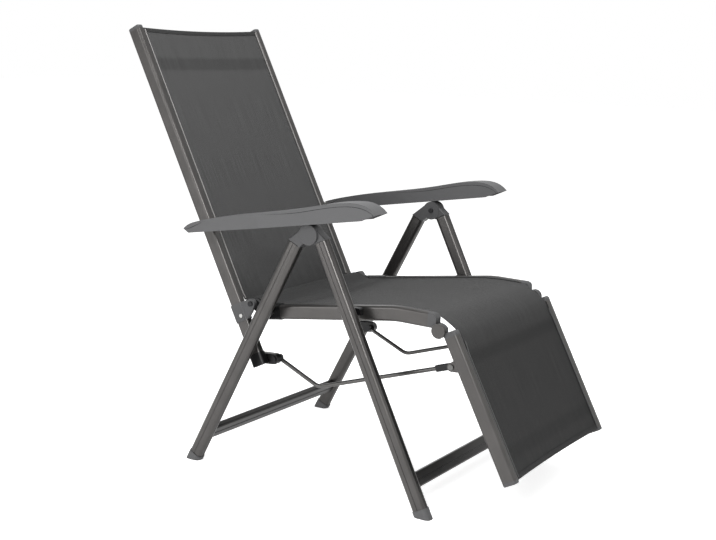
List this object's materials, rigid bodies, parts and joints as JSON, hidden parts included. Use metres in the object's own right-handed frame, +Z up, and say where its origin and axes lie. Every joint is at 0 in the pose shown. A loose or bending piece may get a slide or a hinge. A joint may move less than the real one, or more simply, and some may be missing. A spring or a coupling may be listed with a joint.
{
  "type": "reclining garden armchair",
  "caption": "Folding high-backed garden armchair with a reclining back, armrests on a ratchet and a footrest that push rods raise, strung with woven sling cloth.",
  "frame": {"origin": "on the floor, under the middle of the chair's bounding box at rest", "axes": "+Z up, the sitter faces -Y, +X is the sitter's left"},
  "size_m": [0.662, 1.1426, 1.0908],
  "materials": {
    "frame": "anthracite powder coat",
    "knuckle": "dark grey moulded plastic",
    "arm": "grey plastic with a fine grain",
    "fitting": "black moulded plastic",
    "pin": "zinc-plated steel",
    "dark_pin": "blackened steel",
    "wire": "black powder coat",
    "sling": "woven coated polyester",
    "foot": "black moulded foot"
  },
  "bodies": {
    "rear_legs": {"rear_leg_left": "frame", "rear_leg_right": "frame", "rear_knuckle_left": "knuckle", "rear_knuckle_right": "knuckle", "rear_crossbar": "frame", "rear_feet": "foot", "knuckle_bolts": "dark_pin", "knuckle_discs": "knuckle"},
    "front_legs": {"front_leg_left": "frame", "front_leg_right": "frame", "front_knuckle_left": "knuckle", "front_knuckle_right": "knuckle", "front_crossbar": "frame", "front_feet": "foot", "seat_rest_studs": "pin"},
    "seat": {"seat_rail_left": "frame", "seat_rail_right": "frame", "seat_hip_lug_left": "fitting", "seat_hip_lug_right": "fitting", "seat_knee_end_left": "knuckle", "seat_knee_end_right": "knuckle", "seat_saddles": "fitting", "seat_leg_bolts": "pin", "seat_spreaders": "frame", "seat_sling": "sling"},
    "hip_pins": {"hip_pins": "dark_pin"},
    "back": {"back_tube_left": "frame", "back_tube_right": "frame", "back_hip_lug_left": "knuckle", "back_hip_lug_right": "knuckle", "rod_socket_left": "fitting", "rod_socket_right": "fitting", "back_caps": "knuckle", "hip_plates": "pin", "back_spreaders": "frame", "back_sling": "sling"},
    "arm_bolts": {"arm_bolts": "pin"},
    "arm_left": {"armrest_left": "arm", "armrest_ratchet_left": "arm"},
    "arm_right": {"armrest_right": "arm", "armrest_ratchet_right": "arm"},
    "knee_pins": {"knee_pins": "frame"},
    "footrest": {"footrest_tube_left": "frame", "footrest_tube_right": "frame", "footrest_knuckle_left": "knuckle", "footrest_knuckle_right": "knuckle", "footrest_caps": "knuckle", "footrest_spreaders": "frame", "footrest_sling": "sling", "rod_lugs": "frame", "rod_studs": "pin"},
    "rod_pins": {"rod_pins": "dark_pin"},
    "rods": {"push_rod_left": "wire", "push_rod_right": "wire", "rod_clips": "fitting"}
  },
  "joints": [
    {"name": "fold", "type": "hinge", "parent": "rear_legs", "child": "front_legs", "pos_m": [0, -0.03481, 0.62], "axis": [1, 0, 0], "range_deg": [0, 52]},
    {"name": "seat_fold", "type": "hinge", "parent": "rear_legs", "child": "seat", "pos_m": [0, 0.10419, 0.4084], "axis": [-1, 0, 0], "range_deg": [0, 55.9]},
    {"name": "hip_fold", "type": "hinge", "parent": "seat", "child": "hip_pins", "pos_m": [0, 0.16769, 0.42], "axis": [-1, 0, 0], "range_deg": [-110, 0]},
    {"name": "recline", "type": "hinge", "parent": "hip_pins", "child": "back", "pos_m": [0, 0.16769, 0.42], "axis": [-1, 0, 0], "range_deg": [0, 28]},
    {"name": "arm_fold", "type": "hinge", "parent": "back", "child": "arm_bolts", "pos_m": [0, 0.31169, 0.604], "axis": [-1, 0, 0], "range_deg": [0, 110]},
    {"name": "arm_left_tilt", "type": "hinge", "parent": "arm_bolts", "child": "arm_left", "pos_m": [0, 0.31169, 0.604], "axis": [-1, 0, 0], "range_deg": [-16.96, 0]},
    {"name": "arm_right_tilt", "type": "hinge", "parent": "arm_bolts", "child": "arm_right", "pos_m": [0, 0.31169, 0.604], "axis": [-1, 0, 0], "range_deg": [-16.96, 0]},
    {"name": "knee_fold", "type": "hinge", "parent": "seat", "child": "knee_pins", "pos_m": [0, -0.36331, 0.432], "axis": [-1, 0, 0], "range_deg": [0, 50.5]},
    {"name": "footrest_tilt", "type": "hinge", "parent": "knee_pins", "child": "footrest", "pos_m": [0, -0.36331, 0.432], "axis": [-1, 0, 0], "range_deg": [0, 48.66]},
    {"name": "rod_fold", "type": "hinge", "parent": "back", "child": "rod_pins", "pos_m": [0, 0.10969, 0.284], "axis": [-1, 0, 0], "range_deg": [0, 95]},
    {"name": "rod_tilt", "type": "hinge", "parent": "rod_pins", "child": "rods", "pos_m": [0, 0.10969, 0.284], "axis": [-1, 0, 0], "range_deg": [-28.5, 0]}
  ],
  "couplings": [
    {"joint": "seat_fold", "follows": "fold", "ratio": 1.0654},
    {"joint": "hip_fold", "follows": "fold", "ratio": -2.1058},
    {"joint": "arm_fold", "follows": "fold", "ratio": 2.1058},
    {"joint": "knee_fold", "follows": "fold", "ratio": 0.96154},
    {"joint": "rod_fold", "follows": "fold", "ratio": 1.8173},
    {"joint": "arm_left_tilt", "follows": "recline", "ratio": -0.588},
    {"joint": "arm_right_tilt", "follows": "recline", "ratio": -0.588},
    {"joint": "footrest_tilt", "follows": "recline", "ratio": 1.72},
    {"joint": "rod_tilt", "follows": "recline", "ratio": -1}
  ]
}
